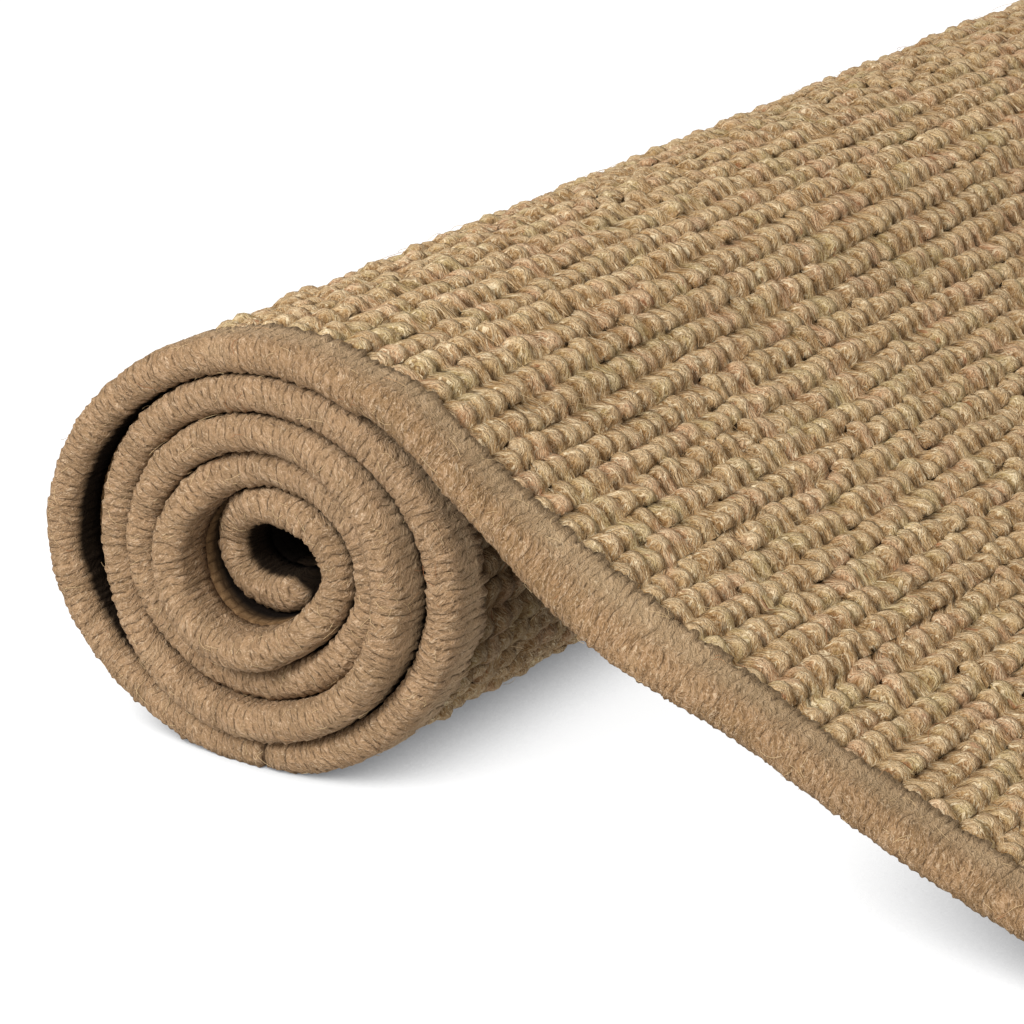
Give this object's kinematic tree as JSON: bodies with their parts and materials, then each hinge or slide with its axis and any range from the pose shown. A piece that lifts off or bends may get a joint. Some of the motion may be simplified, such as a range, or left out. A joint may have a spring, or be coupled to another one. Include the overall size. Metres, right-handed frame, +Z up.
{
  "type": "jute runner",
  "caption": "Ribbed jute runner with an overcast edge, wound into a roll at one end with the loose end lying flat.",
  "frame": {"origin": "on the floor, under the middle of the whole piece", "axes": "+Z up, +X along the runner from the roll to the loose end, Y across the runner"},
  "size_m": [0.9054, 0.6162, 0.1059],
  "materials": {
    "ribbed_jute": "natural undyed jute, ribbed loop weave, dry and fibrous",
    "edge_yarn": "tan jute yarn overcast closely round the edge, dry and fibrous"
  },
  "bodies": {
    "root": {"woven_body": "ribbed_jute", "near_edge": "edge_yarn", "far_edge": "edge_yarn", "loose_end_edge": "edge_yarn", "inner_end_edge": "edge_yarn"}
  },
  "joints": []
}
